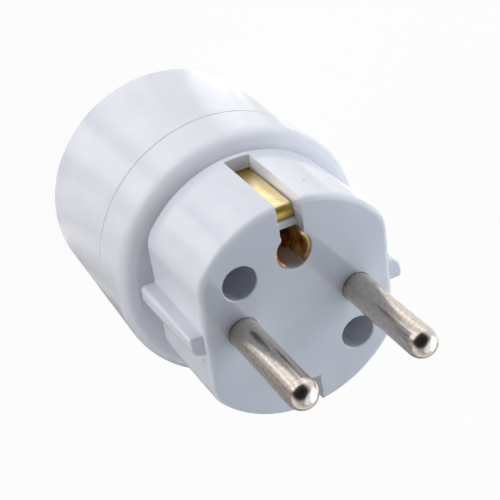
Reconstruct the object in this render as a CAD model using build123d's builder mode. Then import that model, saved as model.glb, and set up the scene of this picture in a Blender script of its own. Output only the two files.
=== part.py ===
from build123d import *
import math
import os

# Travel plug adapter, in millimetres.
# Origin at the middle of the outlet face, +Z towards the plug pins, +Y towards the plug's earth hole.

# Case
case_rear_dia = 41.3  # across the outlet end
case_draft = 1.1  # degrees, the case widens towards the flange
rear_length = 22.7  # outlet face to the seam
collar_length = 9.5  # seam to the flange face
case_edge_radius = 0.6
flange_radius = 2.6  # rounding of the flange face
shell_wall = 2.0
outlet_face_wall = 2.6
seam_bevel = 0.2

# Nose of the plug
nose_length = 17.2  # flange face to plug face
nose_dia = 36.5
nose_flats = 31.2  # across the two side flats
nose_draft = 0.5  # degrees
nose_edge_radius = 0.95
nose_corner_radius = 5.0  # where each flat meets the round
nose_wall = 2.0
plug_face_wall = 2.6
flange_wall = 2.2

# Guide wings on the two flats
wings_across = 35.4  # at the front
wing_width = 3.4  # at the front
wing_draft = 1.4  # degrees, on every side
wing_setback = 0.6  # behind the plug face
wing_round_edge = 1.8  # one long edge of each wing, on opposite sides
wing_soft_edge = 0.4  # the other edges

# Pins
pin_dia = 4.8
pin_length = 19.2  # in front of the plug face
pin_spacing = 19.0
pin_root_dia = 5.2  # inside the housing
pin_neck_dia = 4.2  # relief groove just below the plug face
pin_neck_height = 0.5
pin_collar_dia = 7.1
pin_collar_thickness = 1.5
pin_tail_dia = 4.4
pin_tap_depth = 9.0
boss_wall = 1.6  # plastic round each pin, well and sleeve

# Screws that hold the two mouldings together
well_x = 9.0
well_y = 8.15
well_dia = 5.46
well_mouth_bevel = 0.15
well_floor = 3.0
case_screw_dia = 3.0
case_screw_head_dia = 5.2
case_screw_head_height = 2.0
case_screw_length = 19.0
screw_boss_dia = 6.6
screw_boss_rib = 1.4
case_screw_head_edge = 0.65
recess_depth = 1.1  # cross recess in each screw head
recess_width = 0.8
recess_span = 2.7

# Contact carrier, the disc between the two mouldings
carrier_thickness = 3.0
lip_wall = 1.0  # lip of the outlet shell inside the collar

# Plug earth: sleeve for a grounding pin, and a bow with two side contacts
earth_y = 10.1
earth_hole_dia = 5.9
sleeve_wall = 0.45
sleeve_setback = 0.5
sleeve_base = 1.6
sleeve_leaf_length = 5.0
sleeve_top_gap = 3.2
sleeve_bottom_gap = 3.0
sleeve_mouth_radius = 0.3
bow_thickness = 0.8
bow_leg_width = 3.7
bow_bar_width = 6.4
bow_level = 16.0  # from the axis to the outer side of each leg
bow_setback = 2.7  # behind the plug face
bow_bend = 1.0  # centreline radius
bow_hook_depth = 2.0  # how far each hook reaches in from the leg's outer side
groove_width = 4.2
groove_length = 16.2
slot_width = 3.9
slot_depth = 4.2
rib_setback = 1.9  # the rib inside each hook, behind the plug face
rivet_dia = 2.4
rivet_head_dia = 4.0
rivet_head_height = 0.6

# Outlet: two flat blades and a round grounding pin
blade_spacing = 12.7
blade_slot_thickness = 2.0
live_slot_length = 7.4
neutral_slot_length = 8.6
outlet_earth_y = -11.9
outlet_earth_hole_dia = 5.3
outlet_guide_length = 5.0
outlet_guide_wall = 1.2
outlet_sleeve_bore_dia = 4.9
outlet_sleeve_wall = 0.5
outlet_sleeve_setback = 5.4
outlet_leaf_length = 9.0
outlet_slit = 0.6
chamber_height = 6.0
chamber_wall = 0.9
chamber_room = 0.5

# Live and neutral contacts
contact_thickness = 0.8
contact_width = 6.4
contact_pad_reach = 2.9  # past the pin's axis
contact_mouth_gap = 2.6
contact_pinch_gap = 1.3
contact_root_gap = 2.2
contact_mouth_setback = 3.2  # above the outlet face
contact_pinch_height = 8.5  # above the outlet face
contact_pinch_length = 3.0
contact_bend = 0.9
contact_bridge_drop = 4.7  # from the carrier to the bridge that holds the outer leaf
spring_thickness = 0.5
spring_height = 2.0
terminal_screw_dia = 3.0
terminal_head_dia = 5.5
terminal_head_height = 2.0
terminal_head_edge = 0.5
terminal_screw_length = 8.0
lock_washer_dia = 5.2
lock_washer_thickness = 0.8
lock_washer_gap = 0.7

# Clearances
running_fit = 0.05  # radial, a pin or sleeve in its hole
thread_fit = 0.02  # radial, a screw in its thread
hole_fit = 0.15  # radial, a screw in a clearance hole
seat_gap = 0.1  # between mouldings
rest_gap = 0.3

# Heights worked out from the sizes above
seam_z = rear_length
flange_z = seam_z + collar_length
face_z = flange_z + nose_length
ledge_z = flange_z - flange_wall
carrier_z = ledge_z - carrier_thickness
lip_top_z = carrier_z - rest_gap
ceiling_z = face_z - plug_face_wall
well_floor_z = ledge_z + well_floor
collar_seat_z = ledge_z + pin_collar_thickness
groove_rear_z = face_z - groove_length
bar_top_z = ledge_z + bow_thickness

# Radii worked out from the sizes above
pin_x = pin_spacing / 2
blade_x = blade_spacing / 2
nose_radius = nose_dia / 2
slot_reach = earth_y + earth_hole_dia / 2  # from the axis to each slot's inner end
shell_inner_radius = case_rear_dia / 2 - shell_wall
lip_radius = shell_inner_radius + lip_wall
collar_inner_radius = lip_radius + seat_gap
pin_hole_radius = pin_root_dia / 2 + running_fit
sleeve_radius = earth_hole_dia / 2 - running_fit
sleeve_bore_radius = sleeve_radius - sleeve_wall
outlet_sleeve_radius = outlet_sleeve_bore_dia / 2 + outlet_sleeve_wall
well_points = [(-well_x, well_y), (well_x, -well_y)]
pin_points = [(-pin_x, 0), (pin_x, 0)]


def case_radius(z):
    return case_rear_dia / 2 + z * math.tan(math.radians(case_draft))


def cross_recess(centre, top):
    # two crossed slots in the head of a screw, cut down from the given height
    with BuildPart() as cutter:
        with BuildSketch(Plane.XY.offset(top - recess_depth)):
            with Locations(centre):
                Rectangle(recess_span, recess_width)
                Rectangle(recess_width, recess_span)
        extrude(amount=recess_depth * 2)
    return cutter.part


# Guide wings: one bar through the nose that widens towards the flange, with one round edge on each wing
wing_front_z = face_z - wing_setback
with BuildPart() as wing_bar:
    with BuildSketch(Plane.XY.offset(wing_front_z)) as wing_outline:
        Rectangle(wings_across, wing_width)
        round_corners = wing_outline.vertices().filter_by(lambda v: v.X * v.Y > 0)
        fillet(round_corners, radius=wing_round_edge)
        soft_corners = wing_outline.vertices().filter_by(lambda v: v.X * v.Y < 0)
        soft_corners = soft_corners.filter_by(lambda v: abs(v.Y) > wing_width / 2 - running_fit)
        soft_corners = soft_corners.filter_by(lambda v: abs(v.X) > wings_across / 2 - running_fit)
        fillet(soft_corners, radius=wing_soft_edge)
    extrude(amount=flange_z - wing_front_z, taper=-wing_draft)
    front_edges = wing_bar.faces().sort_by(Axis.Z)[-1].edges()
    fillet(front_edges, radius=wing_soft_edge)

# Front housing: collar, flange, nose and wings in one moulding, hollow from the seam
flange_start_z = flange_z - flange_radius
flange_outer = case_radius(flange_start_z)
with BuildPart() as front_housing:
    with BuildSketch(Plane.XZ) as collar_outline:
        with BuildLine():
            Polyline(
                (0, flange_z),
                (0, seam_z),
                (case_radius(seam_z) - seam_bevel, seam_z),
                (case_radius(seam_z + seam_bevel), seam_z + seam_bevel),
                (flange_outer, flange_start_z),
            )
            CenterArc((flange_outer - flange_radius, flange_start_z), flange_radius, 0, 90)
            Line((flange_outer - flange_radius, flange_z), (0, flange_z))
        make_face()
    revolve(axis=Axis.Z)

    nose_growth = nose_length * math.tan(math.radians(nose_draft))
    with BuildSketch(Plane.XY.offset(face_z)) as nose_outline:
        Circle(nose_radius)
        Rectangle(nose_flats, nose_dia, mode=Mode.INTERSECT)
        fillet(nose_outline.vertices(), radius=nose_corner_radius)
    with BuildSketch(Plane.XY.offset(flange_z)) as nose_root:
        Circle(nose_radius + nose_growth)
        Rectangle(nose_flats + 2 * nose_growth, nose_dia + 2 * nose_growth, mode=Mode.INTERSECT)
        fillet(nose_root.vertices(), radius=nose_corner_radius)
    loft()
    fillet(front_housing.faces().sort_by(Axis.Z)[-1].edges(), radius=nose_edge_radius)

    add(wing_bar.part)

    # hollow of the collar, and hollow of the nose round its bosses
    with BuildSketch(Plane.XY.offset(seam_z)) as collar_hollow:
        Circle(collar_inner_radius)
    extrude(amount=ledge_z - seam_z, mode=Mode.SUBTRACT)
    with BuildSketch(Plane.XY.offset(ledge_z)) as nose_hollow:
        Circle(nose_radius - nose_wall)
        Rectangle(nose_flats - 2 * nose_wall, nose_dia, mode=Mode.INTERSECT)
        with Locations(*pin_points):
            Circle(pin_collar_dia / 2 + seat_gap + boss_wall, mode=Mode.SUBTRACT)
        with Locations(*well_points):
            Circle(well_dia / 2 + boss_wall, mode=Mode.SUBTRACT)
        with Locations((0, earth_y)):
            Circle(earth_hole_dia / 2 + boss_wall, mode=Mode.SUBTRACT)
        with Locations((0, nose_radius), (0, -nose_radius)):
            channel_width = groove_width + 2 * boss_wall
            Rectangle(channel_width, 2 * (nose_radius - slot_reach + boss_wall), mode=Mode.SUBTRACT)
    extrude(amount=ceiling_z - ledge_z, mode=Mode.SUBTRACT)

    # holes for the pins, with a seat for each pin's collar
    with BuildSketch(Plane.XY.offset(ledge_z)) as pin_holes:
        with Locations(*pin_points):
            Circle(pin_hole_radius)
    extrude(amount=face_z - ledge_z, mode=Mode.SUBTRACT)
    with BuildSketch(Plane.XY.offset(ledge_z)) as collar_seats:
        with Locations(*pin_points):
            Circle(pin_collar_dia / 2 + seat_gap)
    extrude(amount=collar_seat_z - ledge_z, mode=Mode.SUBTRACT)

    # wells for the case screws, and the hole through each well's floor
    with BuildSketch(Plane.XY.offset(well_floor_z)) as wells:
        with Locations(*well_points):
            Circle(well_dia / 2)
    extrude(amount=face_z - well_floor_z, mode=Mode.SUBTRACT)
    with BuildSketch(Plane.XY.offset(ledge_z)) as well_floors:
        with Locations(*well_points):
            Circle(case_screw_dia / 2 + hole_fit)
    extrude(amount=well_floor, mode=Mode.SUBTRACT)

    # grooves for the bow's legs, slots for its hooks, and the way in behind the flange
    leg_inner = bow_level - bow_thickness
    rib_outer = bow_level - bow_hook_depth - seat_gap
    with BuildSketch(Plane.XY.offset(groove_rear_z)) as grooves:
        Rectangle(groove_width, case_rear_dia)
        Rectangle(groove_width, 2 * leg_inner, mode=Mode.SUBTRACT)
    extrude(amount=groove_length, mode=Mode.SUBTRACT)
    with BuildSketch(Plane.XY.offset(face_z - slot_depth)) as hook_slots:
        Rectangle(slot_width, case_rear_dia)
        Rectangle(slot_width, 2 * rib_outer, mode=Mode.SUBTRACT)
    extrude(amount=slot_depth, mode=Mode.SUBTRACT)
    with BuildSketch(Plane.XY.offset(face_z - rib_setback)) as rib_tops:
        Rectangle(slot_width, case_rear_dia)
        Rectangle(slot_width, 2 * slot_reach, mode=Mode.SUBTRACT)
    extrude(amount=rib_setback, mode=Mode.SUBTRACT)
    with BuildSketch(Plane.XY.offset(ledge_z)) as leg_ways:
        Rectangle(bow_leg_width + 2 * seat_gap, 2 * (bow_level + seat_gap))
        Rectangle(bow_leg_width + 2 * seat_gap, 2 * (leg_inner - seat_gap), mode=Mode.SUBTRACT)
    extrude(amount=groove_rear_z - ledge_z, mode=Mode.SUBTRACT)

    # channel for the bow's bar, with room for its bends and for the rivet, and the earth hole above it
    with BuildSketch(Plane.XY.offset(ledge_z)) as bar_channel:
        Rectangle(bow_bar_width + 2 * seat_gap, 2 * (bow_level + seat_gap))
    extrude(amount=bow_thickness + seat_gap, mode=Mode.SUBTRACT)
    with BuildSketch(Plane.XY.offset(ledge_z)) as bend_room:
        Rectangle(bow_leg_width + 2 * seat_gap, 2 * bow_level)
        Rectangle(bow_leg_width + 2 * seat_gap, 2 * (leg_inner - bow_bend), mode=Mode.SUBTRACT)
    extrude(amount=bow_thickness + bow_bend, mode=Mode.SUBTRACT)
    with BuildSketch(Plane.XY.offset(ledge_z)) as rivet_room:
        with Locations((0, outlet_earth_y)):
            Circle(rivet_head_dia / 2 + seat_gap)
    extrude(amount=bow_thickness + rivet_head_height + rest_gap, mode=Mode.SUBTRACT)
    with BuildSketch(Plane.XY.offset(ledge_z)) as earth_hole:
        with Locations((0, earth_y)):
            Circle(earth_hole_dia / 2)
            Rectangle(slot_width - seat_gap, earth_hole_dia / 2, align=(Align.CENTER, Align.MIN))
    extrude(amount=face_z - ledge_z, mode=Mode.SUBTRACT)
    mouths = front_housing.faces().sort_by(Axis.Z)[-1].edges().filter_by(GeomType.CIRCLE)
    well_mouths = mouths.filter_by(lambda e: abs(e.radius - well_dia / 2) < running_fit)
    chamfer(well_mouths, length=well_mouth_bevel)
front_housing.part.label = "front_housing"

# Outlet shell: the rear cup with its face, lip, screw bosses, chambers and pin guide
with BuildPart() as rear_shell:
    with BuildSketch(Plane.XZ) as shell_outline:
        with BuildLine():
            Polyline(
                (0, outlet_face_wall),
                (0, 0),
                (case_radius(0) - case_edge_radius, 0),
            )
            CenterArc((case_radius(0) - case_edge_radius, case_edge_radius), case_edge_radius, -90, 90)
            Polyline(
                (case_radius(0), case_edge_radius),
                (case_radius(seam_z - seam_bevel), seam_z - seam_bevel),
                (case_radius(seam_z) - seam_bevel, seam_z),
                (lip_radius, seam_z),
                (lip_radius, lip_top_z),
                (shell_inner_radius, lip_top_z),
                (shell_inner_radius, outlet_face_wall),
                (0, outlet_face_wall),
            )
        make_face()
    revolve(axis=Axis.Z)

    with BuildSketch(Plane.XY.offset(outlet_face_wall)) as screw_bosses:
        for x, y in well_points:
            reach = shell_inner_radius - math.hypot(x, y)
            outward = math.degrees(math.atan2(y, x))
            with Locations((x, y)):
                Circle(screw_boss_dia / 2)
                Rectangle(
                    reach + shell_wall / 2,
                    screw_boss_rib,
                    rotation=outward,
                    align=(Align.MIN, Align.CENTER),
                )
    extrude(amount=seam_z - outlet_face_wall)
    with BuildSketch(Plane.XY.offset(seam_z)) as boss_tops:
        with Locations(*well_points):
            Circle(screw_boss_dia / 2)
    extrude(amount=carrier_z - seam_z)
    with BuildSketch(Plane.XY.offset(carrier_z)) as boss_threads:
        with Locations(*well_points):
            Circle(case_screw_dia / 2 + thread_fit)
    thread_depth = case_screw_length - well_floor - carrier_thickness + rest_gap
    extrude(amount=-thread_depth, mode=Mode.SUBTRACT)

    # chambers that keep the two contacts apart, and the tube that guides the grounding pin
    contact_span = contact_mouth_gap + 2 * contact_thickness + 2 * spring_thickness
    chamber_x = contact_span + 2 * chamber_room
    chamber_y = contact_width + 2 * spring_thickness + 2 * chamber_room
    with BuildSketch(Plane.XY.offset(outlet_face_wall)) as chambers:
        with Locations((blade_x, 0), (-blade_x, 0)):
            Rectangle(chamber_x + 2 * chamber_wall, chamber_y + 2 * chamber_wall)
            Rectangle(chamber_x, chamber_y, mode=Mode.SUBTRACT)
    extrude(amount=chamber_height)
    with BuildSketch(Plane.XY.offset(outlet_face_wall)) as pin_guide:
        with Locations((0, outlet_earth_y)):
            Circle(outlet_earth_hole_dia / 2 + outlet_guide_wall)
    extrude(amount=outlet_guide_length - outlet_face_wall)
    with BuildSketch(Plane.XY) as outlet_holes:
        with Locations((0, outlet_earth_y)):
            Circle(outlet_earth_hole_dia / 2)
        with Locations((-blade_x, 0)):
            Rectangle(blade_slot_thickness, neutral_slot_length)
        with Locations((blade_x, 0)):
            Rectangle(blade_slot_thickness, live_slot_length)
    extrude(amount=outlet_guide_length, mode=Mode.SUBTRACT)
rear_shell.part.label = "rear_shell"

# Contact carrier: insulating disc held between the ledge and the screw bosses
with BuildPart() as contact_carrier:
    with BuildSketch(Plane.XY.offset(carrier_z)) as carrier_outline:
        Circle(collar_inner_radius - seat_gap)
        with Locations(*pin_points):
            Circle(pin_tail_dia / 2 + running_fit, mode=Mode.SUBTRACT)
        with Locations(*well_points):
            Circle(case_screw_dia / 2 + hole_fit, mode=Mode.SUBTRACT)
        with Locations((0, outlet_earth_y)):
            Circle(rivet_dia / 2 + hole_fit, mode=Mode.SUBTRACT)
    extrude(amount=carrier_thickness)
    with BuildSketch(Plane.XY.offset(ledge_z)) as rivet_relief:
        with Locations((0, earth_y)):
            Circle(rivet_head_dia / 2 + seat_gap)
    extrude(amount=-(rivet_head_height + rest_gap), mode=Mode.SUBTRACT)
contact_carrier.part.label = "contact_carrier"


def make_pin(x):
    # solid pin with a domed tip, a necked root in the housing, a collar below it and a tapped tail
    with BuildPart() as pin:
        with BuildSketch(Plane.XY.offset(carrier_z)):
            with Locations((x, 0)):
                Circle(pin_tail_dia / 2)
        extrude(amount=carrier_thickness)
        with BuildSketch(Plane.XY.offset(ledge_z)):
            with Locations((x, 0)):
                Circle(pin_collar_dia / 2)
        extrude(amount=pin_collar_thickness)
        straight_top = face_z + pin_length - pin_dia / 2
        with BuildSketch(Plane.XY.offset(collar_seat_z)):
            with Locations((x, 0)):
                Circle(pin_root_dia / 2)
        extrude(amount=face_z - pin_neck_height - collar_seat_z)
        with BuildSketch(Plane.XY.offset(face_z - pin_neck_height)):
            with Locations((x, 0)):
                Circle(pin_neck_dia / 2)
        extrude(amount=pin_neck_height)
        with BuildSketch(Plane.XY.offset(face_z)):
            with Locations((x, 0)):
                Circle(pin_dia / 2)
        extrude(amount=straight_top - face_z)
        with Locations((x, 0, straight_top)):
            Sphere(pin_dia / 2)
        with BuildSketch(Plane.XY.offset(carrier_z)):
            with Locations((x, 0)):
                Circle(terminal_screw_dia / 2 + thread_fit)
        extrude(amount=pin_tap_depth, mode=Mode.SUBTRACT)
    return pin.part


live_pin = make_pin(pin_x)
live_pin.label = "live_pin"
neutral_pin = make_pin(-pin_x)
neutral_pin.label = "neutral_pin"

# Earth bow: one brass strip, a bar across the carrier with a leg in each groove and a hook at each end
middle_level = bow_level - bow_thickness / 2
hook_z = face_z - bow_setback - bow_thickness / 2
with BuildPart() as earth_bow:
    with BuildSketch(Plane.YZ) as bow_section:
        with BuildLine() as bow_line:
            FilletPolyline(
                (bow_level - bow_hook_depth, hook_z),
                (middle_level, hook_z),
                (middle_level, ledge_z + bow_thickness / 2),
                (-middle_level, ledge_z + bow_thickness / 2),
                (-middle_level, hook_z),
                (-bow_level + bow_hook_depth, hook_z),
                radius=bow_bend,
            )
        trace(bow_line.edges(), line_width=bow_thickness)
    extrude(amount=bow_leg_width / 2, both=True)
    with BuildSketch(Plane.XY.offset(ledge_z)) as bow_bar:
        Rectangle(bow_bar_width, 2 * (middle_level - bow_bend))
    extrude(amount=bow_thickness)
    with BuildSketch(Plane.XY.offset(ledge_z)) as bow_holes:
        with Locations((0, earth_y), (0, outlet_earth_y)):
            Circle(rivet_dia / 2 + thread_fit)
    extrude(amount=bow_thickness, mode=Mode.SUBTRACT)
earth_bow.part.label = "earth_bow"

# Plug earth sleeve: a turned brass tube on a solid base, whose mouth is cut into two curved leaves
sleeve_front_z = face_z - sleeve_setback
with BuildPart() as earth_sleeve:
    with BuildSketch(Plane.XY.offset(bar_top_z)) as sleeve_outline:
        with Locations((0, earth_y)):
            Circle(sleeve_radius)
    extrude(amount=sleeve_front_z - bar_top_z)
    with BuildSketch(Plane.XY.offset(bar_top_z + sleeve_base)) as sleeve_bore:
        with Locations((0, earth_y)):
            Circle(sleeve_bore_radius)
    extrude(amount=sleeve_front_z - bar_top_z, mode=Mode.SUBTRACT)
    with BuildSketch(Plane.XY.offset(bar_top_z)) as sleeve_rivet_hole:
        with Locations((0, earth_y)):
            Circle(rivet_dia / 2 + thread_fit)
    extrude(amount=sleeve_base, mode=Mode.SUBTRACT)
    with BuildSketch(Plane.XY.offset(bar_top_z + sleeve_base)) as sleeve_rivet_seat:
        with Locations((0, earth_y)):
            Circle(rivet_head_dia / 2 + seat_gap)
    extrude(amount=-rivet_head_height, mode=Mode.SUBTRACT)
    with BuildSketch(Plane.XY.offset(sleeve_front_z)) as sleeve_slits:
        with Locations((0, earth_y)):
            Rectangle(sleeve_top_gap, 2 * sleeve_radius, align=(Align.CENTER, Align.MIN))
            Rectangle(sleeve_bottom_gap, 2 * sleeve_radius, align=(Align.CENTER, Align.MAX))
    extrude(amount=-sleeve_leaf_length, mode=Mode.SUBTRACT)
    rims = earth_sleeve.edges().filter_by(GeomType.CIRCLE).group_by(Axis.Z)[-1]
    fillet(rims.filter_by(lambda e: e.radius < sleeve_radius - running_fit), radius=sleeve_mouth_radius)
earth_sleeve.part.label = "earth_sleeve"

# Outlet earth sleeve: a slit brass tube under the carrier, open towards the outlet face
with BuildPart() as outlet_earth_sleeve:
    with BuildSketch(Plane.XY.offset(outlet_sleeve_setback)) as outlet_sleeve_outline:
        with Locations((0, outlet_earth_y)):
            Circle(outlet_sleeve_radius)
    extrude(amount=carrier_z - outlet_sleeve_setback)
    with BuildSketch(Plane.XY.offset(outlet_sleeve_setback)) as outlet_sleeve_bore:
        with Locations((0, outlet_earth_y)):
            Circle(outlet_sleeve_bore_dia / 2)
    extrude(amount=carrier_z - sleeve_base - outlet_sleeve_setback, mode=Mode.SUBTRACT)
    with BuildSketch(Plane.XY.offset(carrier_z)) as outlet_rivet_hole:
        with Locations((0, outlet_earth_y)):
            Circle(rivet_dia / 2 + thread_fit)
    extrude(amount=-sleeve_base, mode=Mode.SUBTRACT)
    with BuildSketch(Plane.XY.offset(carrier_z - sleeve_base)) as outlet_rivet_seat:
        with Locations((0, outlet_earth_y)):
            Circle(rivet_head_dia / 2 + seat_gap)
    extrude(amount=rivet_head_height, mode=Mode.SUBTRACT)
    with BuildSketch(Plane.XY.offset(outlet_sleeve_setback)) as outlet_slits:
        with Locations((0, outlet_earth_y)):
            Rectangle(outlet_slit, 2 * outlet_sleeve_radius + rest_gap)
    extrude(amount=outlet_leaf_length, mode=Mode.SUBTRACT)
outlet_earth_sleeve.part.label = "outlet_earth_sleeve"


def make_rivet(y, low_z, high_z):
    # shank between two flat heads, clenched outside the given heights
    with BuildPart() as rivet:
        with BuildSketch(Plane.XY.offset(low_z)):
            with Locations((0, y)):
                Circle(rivet_dia / 2)
        extrude(amount=high_z - low_z)
        with BuildSketch(Plane.XY.offset(high_z)):
            with Locations((0, y)):
                Circle(rivet_head_dia / 2)
        extrude(amount=rivet_head_height)
        with BuildSketch(Plane.XY.offset(low_z)):
            with Locations((0, y)):
                Circle(rivet_head_dia / 2)
        extrude(amount=-rivet_head_height)
    return rivet.part


rivet_grip = sleeve_base - rivet_head_height
earth_sleeve_rivet = make_rivet(earth_y, ledge_z, bar_top_z + rivet_grip)
earth_sleeve_rivet.label = "earth_sleeve_rivet"
outlet_sleeve_rivet = make_rivet(outlet_earth_y, carrier_z - rivet_grip, bar_top_z)
outlet_sleeve_rivet.label = "outlet_sleeve_rivet"


def make_contact(side):
    # brass strip: a pad under the pin, a leg with the inner leaf, and an outer leaf on a bridge below the screw
    pad_z = carrier_z - contact_thickness / 2
    leg = contact_thickness / 2
    pinch_top = contact_pinch_height + contact_pinch_length
    bridge_z = carrier_z - contact_bridge_drop
    with BuildPart() as contact:
        with BuildSketch(Plane.XZ) as leaf_section:
            with BuildLine() as inner_leaf:
                FilletPolyline(
                    (side * (pin_x + contact_pad_reach), pad_z),
                    (side * (blade_x - contact_root_gap / 2 - leg), pad_z),
                    (side * (blade_x - contact_root_gap / 2 - leg), pinch_top + contact_pinch_length),
                    (side * (blade_x - contact_pinch_gap / 2 - leg), pinch_top),
                    (side * (blade_x - contact_pinch_gap / 2 - leg), contact_pinch_height),
                    (side * (blade_x - contact_mouth_gap / 2 - leg), contact_mouth_setback),
                    radius=contact_bend,
                )
            trace(inner_leaf.edges(), line_width=contact_thickness)
            with BuildLine() as outer_leaf:
                FilletPolyline(
                    (side * (blade_x - contact_root_gap / 2 - leg), bridge_z),
                    (side * (blade_x + contact_root_gap / 2 + leg), bridge_z),
                    (side * (blade_x + contact_root_gap / 2 + leg), pinch_top + contact_pinch_length),
                    (side * (blade_x + contact_pinch_gap / 2 + leg), pinch_top),
                    (side * (blade_x + contact_pinch_gap / 2 + leg), contact_pinch_height),
                    (side * (blade_x + contact_mouth_gap / 2 + leg), contact_mouth_setback),
                    radius=contact_bend,
                )
            trace(outer_leaf.edges(), line_width=contact_thickness)
        extrude(amount=contact_width / 2, both=True)
        with BuildSketch(Plane.XY.offset(carrier_z)):
            with Locations((side * pin_x, 0)):
                Circle(terminal_screw_dia / 2 + hole_fit)
        extrude(amount=-contact_thickness, mode=Mode.SUBTRACT)
    return contact.part


live_contact = make_contact(1)
live_contact.label = "live_contact"
neutral_contact = make_contact(-1)
neutral_contact.label = "neutral_contact"


def make_contact_spring(side):
    # steel clip round the back of the two leaves, pressing them together
    outside = contact_pinch_gap + 2 * contact_thickness
    spring_low_z = contact_pinch_height + (contact_pinch_length - spring_height) / 2
    with BuildPart() as spring:
        with BuildSketch(Plane.XY.offset(spring_low_z)):
            with Locations((side * blade_x, 0)):
                Rectangle(outside + 2 * spring_thickness, contact_width + 2 * spring_thickness)
                Rectangle(outside, contact_width, mode=Mode.SUBTRACT)
            with Locations((side * blade_x, contact_width / 2 + spring_thickness / 2)):
                Rectangle(outside, spring_thickness, mode=Mode.SUBTRACT)
        extrude(amount=spring_height)
    return spring.part


live_contact_spring = make_contact_spring(1)
live_contact_spring.label = "live_contact_spring"
neutral_contact_spring = make_contact_spring(-1)
neutral_contact_spring.label = "neutral_contact_spring"


def make_terminal_screw(x):
    # pan head screw that clamps a contact to its pin, entering from the outlet side
    head_top = carrier_z - contact_thickness - lock_washer_thickness
    head_low = head_top - terminal_head_height
    with BuildPart() as screw:
        with BuildSketch(Plane.XY.offset(head_low)):
            with Locations((x, 0)):
                Circle(terminal_head_dia / 2)
        extrude(amount=terminal_head_height)
        fillet(screw.faces().sort_by(Axis.Z)[0].edges(), radius=terminal_head_edge)
        with BuildSketch(Plane.XY.offset(head_top)):
            with Locations((x, 0)):
                Circle(terminal_screw_dia / 2)
        extrude(amount=terminal_screw_length)
        with BuildSketch(Plane.XY.offset(head_low)):
            with Locations((x, 0)):
                Rectangle(terminal_head_dia, recess_width)
        extrude(amount=recess_depth, mode=Mode.SUBTRACT)
    return screw.part


live_terminal_screw = make_terminal_screw(pin_x)
live_terminal_screw.label = "live_terminal_screw"
neutral_terminal_screw = make_terminal_screw(-pin_x)
neutral_terminal_screw.label = "neutral_terminal_screw"


def make_lock_washer(x):
    # split spring washer between the screw head and the contact
    with BuildPart() as washer:
        with BuildSketch(Plane.XY.offset(carrier_z - contact_thickness)):
            with Locations((x, 0)):
                Circle(lock_washer_dia / 2)
                Circle(terminal_screw_dia / 2 + hole_fit, mode=Mode.SUBTRACT)
            with Locations((x, lock_washer_dia / 2)):
                Rectangle(lock_washer_gap, lock_washer_dia, mode=Mode.SUBTRACT)
        extrude(amount=-lock_washer_thickness)
    return washer.part


live_lock_washer = make_lock_washer(pin_x)
live_lock_washer.label = "live_lock_washer"
neutral_lock_washer = make_lock_washer(-pin_x)
neutral_lock_washer.label = "neutral_lock_washer"


def make_case_screw(x, y):
    # long screw from the bottom of a well into the boss of the outlet shell
    head_top = well_floor_z + case_screw_head_height
    with BuildPart() as screw:
        with BuildSketch(Plane.XY.offset(well_floor_z)):
            with Locations((x, y)):
                Circle(case_screw_head_dia / 2)
        extrude(amount=case_screw_head_height)
        fillet(screw.faces().sort_by(Axis.Z)[-1].edges(), radius=case_screw_head_edge)
        with BuildSketch(Plane.XY.offset(well_floor_z)):
            with Locations((x, y)):
                Circle(case_screw_dia / 2)
        extrude(amount=-case_screw_length)
        add(cross_recess((x, y), head_top), mode=Mode.SUBTRACT)
    return screw.part


case_screw_left = make_case_screw(-well_x, well_y)
case_screw_left.label = "case_screw_left"
case_screw_right = make_case_screw(well_x, -well_y)
case_screw_right.label = "case_screw_right"

pieces = [
    front_housing.part,
    rear_shell.part,
    contact_carrier.part,
    live_pin,
    neutral_pin,
    earth_bow.part,
    earth_sleeve.part,
    outlet_earth_sleeve.part,
    earth_sleeve_rivet,
    outlet_sleeve_rivet,
    live_contact,
    neutral_contact,
    live_contact_spring,
    neutral_contact_spring,
    live_terminal_screw,
    neutral_terminal_screw,
    live_lock_washer,
    neutral_lock_washer,
    case_screw_left,
    case_screw_right,
]
os.makedirs("parts", exist_ok=True)
for piece in pieces:
    export_step(piece, f"parts/{piece.label}.step")
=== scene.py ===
import bpy
import math
from mathutils import Matrix, Vector


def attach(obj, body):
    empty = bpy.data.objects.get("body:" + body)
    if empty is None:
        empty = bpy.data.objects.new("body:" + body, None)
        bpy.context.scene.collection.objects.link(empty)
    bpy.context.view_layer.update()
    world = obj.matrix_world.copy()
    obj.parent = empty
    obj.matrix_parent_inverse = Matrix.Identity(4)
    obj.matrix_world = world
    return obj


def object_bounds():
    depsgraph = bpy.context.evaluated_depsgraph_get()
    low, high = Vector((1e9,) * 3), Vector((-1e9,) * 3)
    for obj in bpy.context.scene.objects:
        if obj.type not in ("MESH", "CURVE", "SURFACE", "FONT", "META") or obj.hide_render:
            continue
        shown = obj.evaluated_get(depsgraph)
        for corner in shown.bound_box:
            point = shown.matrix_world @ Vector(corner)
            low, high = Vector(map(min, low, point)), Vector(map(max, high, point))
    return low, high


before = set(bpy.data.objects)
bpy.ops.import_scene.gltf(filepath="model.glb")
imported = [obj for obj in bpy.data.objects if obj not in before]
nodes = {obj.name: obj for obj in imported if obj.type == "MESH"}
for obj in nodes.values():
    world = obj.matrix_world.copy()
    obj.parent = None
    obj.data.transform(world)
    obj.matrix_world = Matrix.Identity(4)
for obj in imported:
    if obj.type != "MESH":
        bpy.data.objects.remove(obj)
cadLow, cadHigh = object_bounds()
mm = 0.001

print("Camera")

cameraSettings = {
    "place": (-63.28, 102.66, 182.14),  # mm, in front of the plug face, towards the earth hole
    "target": (1.01, 0.64, 31.15),  # mm, close to the middle of the flange
    "roll": 132.95,  # degrees, so that the pins point down to the right
    "lens": 88.27,  # mm, on a sensor of the next width
    "sensor": 36,
    "near": 0.01,  # metres
    "far": 20,
}


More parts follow.
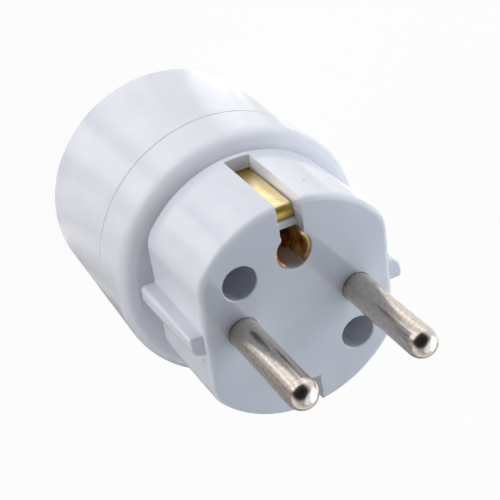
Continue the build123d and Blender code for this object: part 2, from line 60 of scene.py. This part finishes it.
def makeCamera(settings):
    data = bpy.data.cameras.new("camera")
    data.lens = settings["lens"]
    data.sensor_width = settings["sensor"]
    data.clip_start = settings["near"]
    data.clip_end = settings["far"]
    camera = bpy.data.objects.new("camera", data)
    bpy.context.scene.collection.objects.link(camera)
    place = Vector(settings["place"]) * mm
    target = Vector(settings["target"]) * mm
    upright = (target - place).to_track_quat("-Z", "Y").to_matrix().to_4x4()
    roll = Matrix.Rotation(math.radians(settings["roll"]), 4, "Z")
    camera.matrix_world = Matrix.Translation(place) @ upright @ roll
    bpy.context.scene.camera = camera


makeCamera(cameraSettings)

print("Materials")


def linear(hexColour):
    # an sRGB hex value as linear red, green, blue and alpha
    parts = [int(hexColour[i : i + 2], 16) / 255 for i in (1, 3, 5)]
    return [c / 12.92 if c <= 0.04045 else ((c + 0.055) / 1.055) ** 2.4 for c in parts] + [1.0]


def addNode(tree, kind, settings=None, inputs=None, links=None):
    # one node, with its settings, its input values, and links to its inputs from nodes or sockets
    node = tree.nodes.new(kind)
    for name, value in (settings or {}).items():
        setattr(node, name, value)
    for name, value in (inputs or {}).items():
        node.inputs[name].default_value = value
    for name, source in (links or {}).items():
        socket = source.outputs[0] if hasattr(source, "outputs") else source
        tree.links.new(socket, node.inputs[name])
    return node


def startMaterial(name):
    material = bpy.data.materials.new(name)
    material.use_nodes = True
    tree = material.node_tree
    tree.nodes.clear()
    place = addNode(tree, "ShaderNodeTexCoord").outputs["Object"]
    return material, tree, place


def finishMaterial(tree, inputs, links):
    shader = addNode(tree, "ShaderNodeBsdfPrincipled", inputs=inputs, links=links)
    addNode(tree, "ShaderNodeOutputMaterial", links={"Surface": shader})


whiteAbs = {
    "colour": "#EBECF4",
    "shade": "#E5E7EF",  # the pigment is never mixed quite evenly
    "shadeFrom": 0.35,
    "shadeTo": 0.65,
    "mottleMm": 9.0,
    "fleck": "#6E6F78",  # specks of dust, moulded in
    "fleckEveryMm": 11.0,
    "fleckMm": 0.26,
    "fleckCore": 0.5,
    "fleckStrength": 0.8,
    "waveMm": 6.0,
    "waveHeightMm": 0.004,
    "grainMm": 0.3,  # mould polish is finer, and is drawn this coarse so that it shows
    "grainHeightMm": 0.0012,
    "roughness": 0.14,
    "roughnessSpread": 0.1,
    "ior": 1.54,
    "skin": 0.5,
    "skinRoughness": 0.03,
    "softness": 0.12,  # the share of light that goes into the plastic and comes out nearby
    "softMm": 1.0,
}


def makeWhiteAbs(name, values):
    # glossy injection-moulded ABS: a polished mould leaves a smooth skin with slow waves,
    # soft streaks of light and a few flecks
    material, tree, place = startMaterial(name)
    mottle = addNode(
        tree,
        "ShaderNodeTexNoise",
        inputs={"Scale": 1 / (values["mottleMm"] * mm)},
        links={"Vector": place},
    )
    share = addNode(
        tree,
        "ShaderNodeMapRange",
        inputs={"From Min": values["shadeFrom"], "From Max": values["shadeTo"]},
        links={"Value": mottle.outputs["Fac"]},
    )
    body = addNode(
        tree,
        "ShaderNodeMix",
        {"data_type": "RGBA"},
        inputs={6: linear(values["colour"]), 7: linear(values["shade"])},
        links={0: share},
    )
    cell = addNode(
        tree,
        "ShaderNodeTexVoronoi",
        inputs={"Scale": 1 / (values["fleckEveryMm"] * mm)},
        links={"Vector": place},
    )
    fleckRadius = values["fleckMm"] / values["fleckEveryMm"]
    fleck = addNode(
        tree,
        "ShaderNodeMapRange",
        inputs={
            "From Min": fleckRadius * values["fleckCore"],
            "From Max": fleckRadius,
            "To Min": values["fleckStrength"],
            "To Max": 0.0,
        },
        links={"Value": cell.outputs["Distance"]},
    )
    skinColour = addNode(
        tree,
        "ShaderNodeMix",
        {"data_type": "RGBA"},
        inputs={7: linear(values["fleck"])},
        links={0: fleck, 6: body.outputs[2]},
    )
    wave = addNode(
        tree,
        "ShaderNodeTexNoise",
        inputs={"Scale": 1 / (values["waveMm"] * mm), "Detail": 1.0},
        links={"Vector": place},
    )
    gloss = addNode(
        tree,
        "ShaderNodeMapRange",
        inputs={
            "To Min": values["roughness"] * (1 - values["roughnessSpread"]),
            "To Max": values["roughness"] * (1 + values["roughnessSpread"]),
        },
        links={"Value": wave.outputs["Fac"]},
    )
    grain = addNode(
        tree,
        "ShaderNodeTexNoise",
        inputs={"Scale": 1 / (values["grainMm"] * mm)},
        links={"Vector": place},
    )
    slow = addNode(
        tree,
        "ShaderNodeBump",
        inputs={"Distance": values["waveHeightMm"] * mm},
        links={"Height": wave.outputs["Fac"]},
    )
    fine = addNode(
        tree,
        "ShaderNodeBump",
        inputs={"Distance": values["grainHeightMm"] * mm},
        links={"Height": grain.outputs["Fac"], "Normal": slow},
    )
    finishMaterial(
        tree,
        {
            "IOR": values["ior"],
            "Coat Weight": values["skin"],
            "Coat Roughness": values["skinRoughness"],
            "Subsurface Weight": values["softness"],
            "Subsurface Radius": (1.0, 1.0, 1.0),
            "Subsurface Scale": values["softMm"] * mm,
        },
        {"Base Color": skinColour.outputs[2], "Roughness": gloss, "Normal": fine},
    )
    return material


# every metal here is one mirror colour with a second colour in patches, and a grain that is
# longer one way than the others; real grain is a few hundredths of a millimetre wide, and is
# drawn as coarse as it needs to show
metalGrain = {
    "patchDetail": 4.0,
    "detail": 3.0,
    "from": 0.3,
    "to": 0.7,
    "smooth": 0.8,  # times the metal's roughness
    "rough": 1.3,
}
nickelPlate = {
    "metallic": 1.0,
    "colour": "#DFD5CB",
    "patch": "#C8BDB3",
    "patchMm": 0.5,
    "patchFrom": 0.42,
    "patchTo": 0.72,
    "grainMm": 0.2,
    "grainStretch": (1.0, 1.0, 0.35),
    "grainHeightMm": 0.0006,
    "roughness": 0.2,
}
bowBrass = {
    "metallic": 1.0,
    "colour": "#FFE9B6",
    "patch": "#F4DA9A",
    "patchMm": 3.0,
    "patchFrom": 0.45,
    "patchTo": 0.75,
    "grainMm": 0.25,
    "grainStretch": (1.0, 1.0, 0.08),
    "grainHeightMm": 0.001,
    "roughness": 0.2,
    # the inner end of each leg and the front of each hook are drawn in a darker colour and rougher
    "dull": "#C4A655",
    "dullRoughness": 0.42,
    "dullTo": 33.5,  # mm along Z: dull up to here, and bright from the next height
    "brightFrom": 38.5,
    "brightTo": 45.7,
    "dullFrom": 46.3,
}
brassStrip = {
    "metallic": 1.0,
    "colour": "#F0CC6C",
    "patch": "#C6983F",
    "patchMm": 4.0,
    "patchFrom": 0.45,
    "patchTo": 0.75,
    "grainMm": 0.25,
    "grainStretch": (1.0, 1.0, 0.08),
    "grainHeightMm": 0.002,
    "roughness": 0.3,
}
bronzeTube = {
    # not a full metal: few panels show in reflections, so one would go black down in the hole
    "metallic": 0.7,
    "colour": "#FFE49C",
    "patch": "#B8703C",
    "patchMm": 2.0,
    "patchFrom": 0.4,
    "patchTo": 0.62,
    "grainMm": 0.25,
    "grainStretch": (1.0, 1.0, 0.15),
    "grainHeightMm": 0.002,
    "roughness": 0.5,
}
springSteel = {
    "metallic": 1.0,
    "colour": "#8A8A8C",
    "patch": "#5C5A58",
    "patchMm": 2.4,
    "patchFrom": 0.4,
    "patchTo": 0.7,
    "grainMm": 0.3,
    "grainStretch": (1.0, 1.0, 1.0),
    "grainHeightMm": 0.003,
    "roughness": 0.35,
}
zincSteel = {
    "metallic": 1.0,
    "colour": "#B9BEC4",
    "patch": "#8F949B",
    "patchMm": 3.2,
    "patchFrom": 0.4,
    "patchTo": 0.7,
    "grainMm": 0.4,
    "grainStretch": (1.0, 1.0, 1.0),
    "grainHeightMm": 0.003,
    "roughness": 0.3,
}


def makeMetal(name, values):
    # turned, drawn, rolled or plated: the working leaves a fine grain that blurs the
    # reflections, and handling leaves dull patches
    material, tree, place = startMaterial(name)
    patch = addNode(
        tree,
        "ShaderNodeTexNoise",
        inputs={"Scale": 1 / (values["patchMm"] * mm), "Detail": metalGrain["patchDetail"]},
        links={"Vector": place},
    )
    share = addNode(
        tree,
        "ShaderNodeMapRange",
        inputs={"From Min": values["patchFrom"], "From Max": values["patchTo"]},
        links={"Value": patch.outputs["Fac"]},
    )
    colour = addNode(
        tree,
        "ShaderNodeMix",
        {"data_type": "RGBA"},
        inputs={6: linear(values["colour"]), 7: linear(values["patch"])},
        links={0: share},
    )
    along = addNode(
        tree,
        "ShaderNodeMapping",
        inputs={"Scale": values["grainStretch"]},
        links={"Vector": place},
    )
    grain = addNode(
        tree,
        "ShaderNodeTexNoise",
        inputs={"Scale": 1 / (values["grainMm"] * mm), "Detail": metalGrain["detail"]},
        links={"Vector": along},
    )
    gloss = addNode(
        tree,
        "ShaderNodeMapRange",
        inputs={
            "From Min": metalGrain["from"],
            "From Max": metalGrain["to"],
            "To Min": values["roughness"] * metalGrain["smooth"],
            "To Max": values["roughness"] * metalGrain["rough"],
        },
        links={"Value": grain.outputs["Fac"]},
    )
    # below one height along Z and above another, the metal is drawn in a darker colour and rougher
    if "dull" in values:
        height = addNode(tree, "ShaderNodeSeparateXYZ", links={0: place}).outputs["Z"]
        rise = addNode(
            tree,
            "ShaderNodeMapRange",
            {"interpolation_type": "SMOOTHSTEP"},
            inputs={"From Min": values["dullTo"] * mm, "From Max": values["brightFrom"] * mm},
            links={"Value": height},
        )
        fall = addNode(
            tree,
            "ShaderNodeMapRange",
            inputs={"From Min": values["dullFrom"] * mm, "From Max": values["brightTo"] * mm},
            links={"Value": height},
        )
        brightShare = addNode(
            tree, "ShaderNodeMath", {"operation": "MULTIPLY"}, links={0: rise, 1: fall}
        )
        colour = addNode(
            tree,
            "ShaderNodeMix",
            {"data_type": "RGBA"},
            inputs={6: linear(values["dull"])},
            links={0: brightShare, 7: colour.outputs[2]},
        )
        gloss = addNode(
            tree,
            "ShaderNodeMix",
            inputs={2: values["dullRoughness"]},
            links={0: brightShare, 3: gloss},
        )
    surface = addNode(
        tree,
        "ShaderNodeBump",
        inputs={"Distance": values["grainHeightMm"] * mm},
        links={"Height": grain.outputs["Fac"]},
    )
    finishMaterial(
        tree,
        {"Metallic": values["metallic"]},
        {"Base Color": colour.outputs[2], "Roughness": gloss, "Normal": surface},
    )
    return material


carrierPbt = {
    "colour": "#787470",
    "shade": "#6B6865",
    "grainMm": 0.35,  # the texture of the mould is finer, and is drawn this coarse so that it shows
    "grainDetail": 3.0,
    "grainHeightMm": 0.01,
    "roughness": 0.55,
    "roughnessSpread": 0.1,
    "ior": 1.55,
}


def makePbt(name, values):
    # matt moulded PBT: an even grey with the dry sparkle of a spark-eroded mould
    material, tree, place = startMaterial(name)
    grain = addNode(
        tree,
        "ShaderNodeTexNoise",
        inputs={"Scale": 1 / (values["grainMm"] * mm), "Detail": values["grainDetail"]},
        links={"Vector": place},
    )
    colour = addNode(
        tree,
        "ShaderNodeMix",
        {"data_type": "RGBA"},
        inputs={6: linear(values["colour"]), 7: linear(values["shade"])},
        links={0: grain.outputs["Fac"]},
    )
    gloss = addNode(
        tree,
        "ShaderNodeMapRange",
        inputs={
            "To Min": values["roughness"] * (1 - values["roughnessSpread"]),
            "To Max": values["roughness"] * (1 + values["roughnessSpread"]),
        },
        links={"Value": grain.outputs["Fac"]},
    )
    surface = addNode(
        tree,
        "ShaderNodeBump",
        inputs={"Distance": values["grainHeightMm"] * mm},
        links={"Height": grain.outputs["Fac"]},
    )
    finishMaterial(
        tree,
        {"IOR": values["ior"]},
        {"Base Color": colour.outputs[2], "Roughness": gloss, "Normal": surface},
    )
    return material


# which pieces are made of what
whiteSkin = makeWhiteAbs("whiteAbs", whiteAbs)
piecesOf = {
    whiteSkin: ("front_housing", "rear_shell"),
    makeMetal("nickelPlatedBrass", nickelPlate): ("live_pin", "neutral_pin"),
    makeMetal("bowBrass", bowBrass): ("earth_bow",),
    makeMetal("rolledBrass", brassStrip): (
        "earth_sleeve_rivet",
        "outlet_sleeve_rivet",
        "live_contact",
        "neutral_contact",
    ),
    makeMetal("drawnBronze", bronzeTube): ("earth_sleeve", "outlet_earth_sleeve"),
    makeMetal("springSteel", springSteel): (
        "live_contact_spring",
        "neutral_contact_spring",
        "live_lock_washer",
        "neutral_lock_washer",
    ),
    makeMetal("zincPlatedSteel", zincSteel): (
        "live_terminal_screw",
        "neutral_terminal_screw",
        "case_screw_left",
        "case_screw_right",
    ),
    makePbt("mouldedPbt", carrierPbt): ("contact_carrier",),
}
for material, names in piecesOf.items():
    for name in names:
        nodes[name].data.materials.clear()
        nodes[name].data.materials.append(material)

print("Rims of the pin holes")

# in mm, apart from the number of steps round the ring
pinRim = {
    "pinX": 9.5,
    "top": 49.4,  # the plug face
    "sunk": 0.005,
    "height": 0.5,
    "inner": 2.42,
    "outer": 2.66,
    "bevel": 0.06,
    "steps": 96,
}


def makePinRim(name, turnX, values):
    # the moulding closes round the pin at the plug face: a narrow ring of the same plastic
    top = values["top"] - values["sunk"]
    bottom = values["top"] - values["height"]
    outline = (
        (values["outer"], top),
        (values["inner"] + values["bevel"], top),
        (values["inner"], top - values["bevel"]),
        (values["inner"], bottom),
        (values["outer"], bottom),
    )
    steps, count = values["steps"], len(outline)
    points, faces = [], []
    for step in range(steps):
        angle = 2 * math.pi * step / steps
        for radius, z in outline:
            x = turnX * values["pinX"] + radius * math.cos(angle)
            y = radius * math.sin(angle)
            points.append((x * mm, y * mm, z * mm))
        for side in range(count):
            here, there = step * count, (step + 1) % steps * count
            after = (side + 1) % count
            faces.append((here + side, here + after, there + after, there + side))
    mesh = bpy.data.meshes.new(name)
    mesh.from_pydata(points, [], faces)
    mesh.materials.append(whiteSkin)
    rim = bpy.data.objects.new(name, mesh)
    bpy.context.scene.collection.objects.link(rim)
    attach(rim, "root")


makePinRim("live_pin_rim", 1, pinRim)
makePinRim("neutral_pin_rim", -1, pinRim)

print("Floor and light")


# directions are a turn from +X and a rise above the floor, in degrees
def pointAt(turn, rise):
    turn, rise = math.radians(turn), math.radians(rise)
    across = math.cos(rise)
    return Vector((math.cos(turn) * across, math.sin(turn) * across, math.sin(rise)))


floorSettings = {
    "size": 3.0,  # metres
    "below": 0.02,  # mm under the outlet face, so that the two don't flicker
    "colour": "#FAFAFB",
    "glow": 0.95,
    # painted reflections: seen in reflections, the paper glows brighter on one side and in bands,
    # which paints the long streaks on the pins and the case
    "turn": 60,  # bright on this side and dim on the other
    "dimAt": -35,  # mm from the middle
    "brightAt": 13,
    "dim": 0.38,
    "bright": 1.28,
    "bands": 14,  # and in bands that run out from the middle
    "bandsFrom": 300,
    "bandFrom": 0.4,
    "bandTo": 0.6,
    "bandLow": 0.7,
    "bandHigh": 1.15,
}


def makeFloor(settings):
    # a plain sheet of white paper, which glows to the eye and in reflections so that it stays
    # white behind the case, with only a trace of its own shading
    half = settings["size"] / 2
    corners = [(-half, -half, 0), (half, -half, 0), (half, half, 0), (-half, half, 0)]
    mesh = bpy.data.meshes.new("floor")
    mesh.from_pydata(corners, [], [(0, 1, 2, 3)])
    floor = bpy.data.objects.new("floor", mesh)
    bpy.context.scene.collection.objects.link(floor)
    floor.location.z = cadLow.z - settings["below"] * mm
    material, tree, place = startMaterial("paper")
    light = addNode(tree, "ShaderNodeLightPath")
    # 1 for the eye, a reflection or a look through glass, and 0 for light on its way
    direct = addNode(
        tree,
        "ShaderNodeMath",
        {"operation": "MAXIMUM"},
        links={0: light.outputs["Is Camera Ray"], 1: light.outputs["Is Glossy Ray"]},
    )
    seen = addNode(
        tree,
        "ShaderNodeMath",
        {"operation": "MAXIMUM"},
        links={0: direct, 1: light.outputs["Is Transmission Ray"]},
    )
    glow = addNode(
        tree,
        "ShaderNodeMath",
        {"operation": "MULTIPLY"},
        inputs={1: settings["glow"]},
        links={0: seen},
    )
    # painted light: the glow that reflections see is made brighter on one side and in bands
    turned = addNode(
        tree,
        "ShaderNodeVectorMath",
        {"operation": "DOT_PRODUCT"},
        inputs={1: pointAt(settings["turn"], 0)},
        links={0: place},
    )
    side = addNode(
        tree,
        "ShaderNodeMapRange",
        {"interpolation_type": "SMOOTHSTEP"},
        inputs={
            "From Min": settings["dimAt"] * mm,
            "From Max": settings["brightAt"] * mm,
            "To Min": settings["dim"],
            "To Max": settings["bright"],
        },
        links={"Value": turned.outputs["Value"]},
    )
    spun = addNode(
        tree,
        "ShaderNodeMapping",
        inputs={"Rotation": (0, 0, math.radians(180 - settings["bandsFrom"]))},
        links={"Vector": place},
    )
    angle = addNode(
        tree, "ShaderNodeTexGradient", {"gradient_type": "RADIAL"}, links={"Vector": spun}
    )
    bands = addNode(
        tree,
        "ShaderNodeTexNoise",
        {"noise_dimensions": "1D"},
        inputs={"Scale": settings["bands"], "Detail": 1.0},
        links={"W": angle.outputs["Fac"]},
    )
    band = addNode(
        tree,
        "ShaderNodeMapRange",
        {"interpolation_type": "SMOOTHSTEP"},
        inputs={
            "From Min": settings["bandFrom"],
            "From Max": settings["bandTo"],
            "To Min": settings["bandLow"],
            "To Max": settings["bandHigh"],
        },
        links={"Value": bands.outputs["Fac"]},
    )
    mirrored = addNode(
        tree, "ShaderNodeMath", {"operation": "MULTIPLY"}, links={0: side, 1: band}
    )
    strength = addNode(
        tree,
        "ShaderNodeMix",
        inputs={2: 1.0},
        links={0: light.outputs["Is Glossy Ray"], 3: mirrored},
    )
    paper = addNode(
        tree, "ShaderNodeBsdfDiffuse", inputs={"Color": linear(settings["colour"])}
    )
    white = addNode(
        tree,
        "ShaderNodeEmission",
        inputs={"Color": (1, 1, 1, 1)},
        links={"Strength": strength},
    )
    both = addNode(tree, "ShaderNodeMixShader", links={0: glow, 1: paper, 2: white})
    addNode(tree, "ShaderNodeOutputMaterial", links={"Surface": both})
    mesh.materials.append(material)


makeFloor(floorSettings)

worldSettings = {
    "colour": "#E6EAF2",
    "strength": 0.07,
    # polished metal shows more of the room: white panels all round and a dim ceiling
    "mirroredLow": 0.95,
    "mirroredHigh": 0.65,
    "ceiling": "#DEE0E6",
    "lowTo": 8,
    "highFrom": 45,
    # and the domed pins show a dark corner of it: its middle, its reach and what light is left
    "darkTurn": 121,
    "darkRise": 34,
    "darkFull": 44,
    "darkEnd": 70,
    "darkShare": 0.04,
}


def makeWorld(settings):
    # a dim room, white to the eye, with more to see in reflections
    world = bpy.data.worlds.new("world")
    bpy.context.scene.world = world
    world.use_nodes = True
    tree = world.node_tree
    tree.nodes.clear()
    light = addNode(tree, "ShaderNodeLightPath")
    direction = addNode(tree, "ShaderNodeTexCoord").outputs["Generated"]
    parts = addNode(tree, "ShaderNodeSeparateXYZ", links={0: direction})
    height = addNode(
        tree,
        "ShaderNodeMapRange",
        {"interpolation_type": "SMOOTHSTEP"},
        inputs={
            "From Min": math.sin(math.radians(settings["lowTo"])),
            "From Max": math.sin(math.radians(settings["highFrom"])),
        },
        links={"Value": parts.outputs["Z"]},
    )
    tint = addNode(
        tree,
        "ShaderNodeMix",
        {"data_type": "RGBA"},
        inputs={6: (1, 1, 1, 1), 7: linear(settings["ceiling"])},
        links={0: height},
    )
    level = addNode(
        tree,
        "ShaderNodeMapRange",
        inputs={"To Min": settings["mirroredLow"], "To Max": settings["mirroredHigh"]},
        links={"Value": height},
    )
    nearness = addNode(
        tree,
        "ShaderNodeVectorMath",
        {"operation": "DOT_PRODUCT"},
        inputs={1: pointAt(settings["darkTurn"], settings["darkRise"])},
        links={0: direction},
    )
    dark = addNode(
        tree,
        "ShaderNodeMapRange",
        {"interpolation_type": "SMOOTHSTEP"},
        inputs={
            "From Min": math.cos(math.radians(settings["darkEnd"])),
            "From Max": math.cos(math.radians(settings["darkFull"])),
            "To Min": 1.0,
            "To Max": settings["darkShare"],
        },
        links={"Value": nearness.outputs["Value"]},
    )
    strength = addNode(
        tree, "ShaderNodeMath", {"operation": "MULTIPLY"}, links={0: level, 1: dark}
    )
    room = addNode(
        tree,
        "ShaderNodeBackground",
        inputs={"Color": linear(settings["colour"]), "Strength": settings["strength"]},
    )
    mirror = addNode(
        tree,
        "ShaderNodeBackground",
        links={"Color": tint.outputs[2], "Strength": strength},
    )
    white = addNode(
        tree, "ShaderNodeBackground", inputs={"Color": (1, 1, 1, 1), "Strength": 1.0}
    )
    mirrored = addNode(
        tree,
        "ShaderNodeMixShader",
        links={0: light.outputs["Is Glossy Ray"], 1: room, 2: mirror},
    )
    through = addNode(
        tree,
        "ShaderNodeMath",
        {"operation": "MAXIMUM"},
        links={0: light.outputs["Is Camera Ray"], 1: light.outputs["Is Transmission Ray"]},
    )
    both = addNode(tree, "ShaderNodeMixShader", links={0: through, 1: mirrored, 2: white})
    addNode(tree, "ShaderNodeOutputWorld", links={"Surface": both})


makeWorld(worldSettings)

# white panels round the object, with their width and height in metres and their power in watts;
# the two large ones also show in reflections
panelDistance = 0.6  # metres
panelAim = 35  # mm above the floor
panelSettings = {
    "rightPanel": {
        "turn": 30,
        "rise": 8,
        "size": (0.28, 0.28),
        "power": 1.05,
        "mirrored": False,
        "colour": "#FFFFFF",
    },
    "rightTopPanel": {
        "turn": 345,
        "rise": 33,
        "size": (0.9, 0.6),
        "power": 1.35,
        "mirrored": True,
        "colour": "#E4F0FC",
    },
    "highPanel": {
        "turn": 322,
        "rise": 62,
        "size": (0.9, 0.7),
        "power": 1.15,
        "mirrored": True,
        "colour": "#E4F0FC",
    },
    "backPanel": {
        "turn": 255,
        "rise": 20,
        "size": (0.6, 0.28),
        "power": 0.55,
        "mirrored": False,
        "colour": "#FFFFFF",
    },
    "leftPanel": {
        "turn": 154,
        "rise": 2,
        "size": (0.5, 0.1),
        "power": 2.0,
        "mirrored": False,
        "colour": "#FFFFFF",
    },
    "frontPanel": {
        "turn": 66,
        "rise": 2,
        "size": (0.4, 0.1),
        "power": 0.92,
        "mirrored": False,
        "colour": "#FFFFFF",
    },
}


def makePanels(settings):
    aim = Vector((0, 0, panelAim)) * mm
    for name, values in settings.items():
        data = bpy.data.lights.new(name, "AREA")
        data.shape = "ELLIPSE"
        data.size, data.size_y = values["size"]
        data.energy = values["power"]
        data.color = linear(values["colour"])[:3]
        panel = bpy.data.objects.new(name, data)
        panel.visible_glossy = values["mirrored"]
        bpy.context.scene.collection.objects.link(panel)
        away = pointAt(values["turn"], values["rise"])
        panel.location = aim + away * panelDistance
        panel.rotation_euler = away.to_track_quat("Z", "Y").to_euler()


makePanels(panelSettings)

bpy.context.scene.view_settings.view_transform = "Standard"
